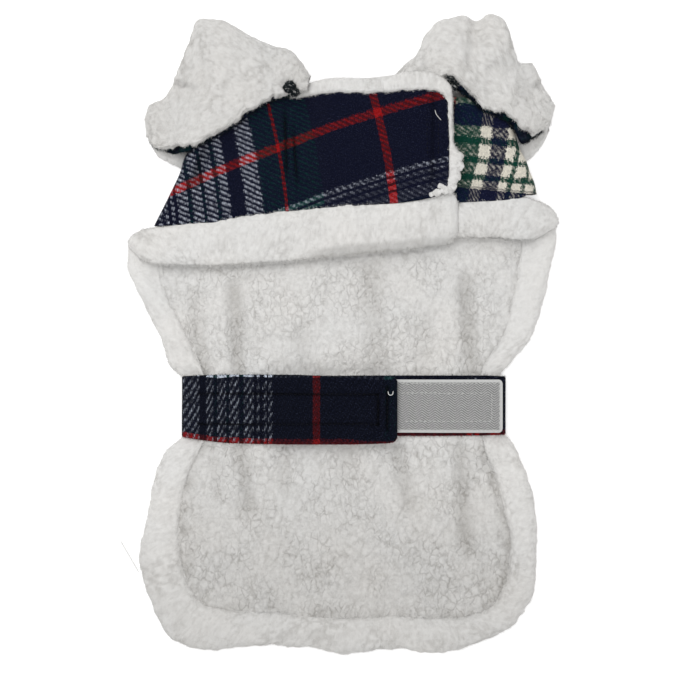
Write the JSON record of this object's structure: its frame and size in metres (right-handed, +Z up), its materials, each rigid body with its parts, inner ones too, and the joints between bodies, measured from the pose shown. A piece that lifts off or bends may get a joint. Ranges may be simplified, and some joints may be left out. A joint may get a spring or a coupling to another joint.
{
  "type": "dog winter coat",
  "caption": "Dog winter coat laid flat on its back: plaid shell, sherpa lining, border and turned-down collar, crossed chest flaps and a belly belt with hook-and-loop closure.",
  "frame": {"origin": "middle of the laid-out coat's outline, on the surface that it lies on", "axes": "+X across the coat, to the right as the coat is looked at from above with its neck up (the dog's own left side), +Y from the hem to the neck, +Z up from the surface. Left and right in the node names are as seen from above: left is -X"},
  "size_m": [0.3039, 0.4484, 0.0298],
  "materials": {
    "plaid": "brushed wool-look twill in a navy, green, red and white check, matt with a short nap",
    "sherpa": "off-white curly sherpa pile, matt",
    "hook_tape": "grey woven hook tape with a fine herringbone of hooks, slightly glossy nylon",
    "loop_tape": "dark brushed loop tape, matt nylon"
  },
  "bodies": {
    "root": {"back_shell": "plaid", "back_lining": "sherpa", "border_body": "sherpa", "left_flap_shell": "plaid", "left_flap_lining": "sherpa", "left_flap_border": "sherpa", "right_flap_shell": "plaid", "right_flap_lining": "sherpa", "right_flap_border": "sherpa", "chest_hook_tape": "hook_tape", "chest_loop_tape": "loop_tape", "collar_left": "sherpa", "collar_right": "sherpa", "collar_back": "sherpa", "under_collar_left": "plaid", "under_collar_right": "plaid", "belt_left": "plaid", "belt_right": "plaid", "belt_hook_tape": "hook_tape", "belt_loop_tape": "loop_tape"}
  },
  "joints": []
}
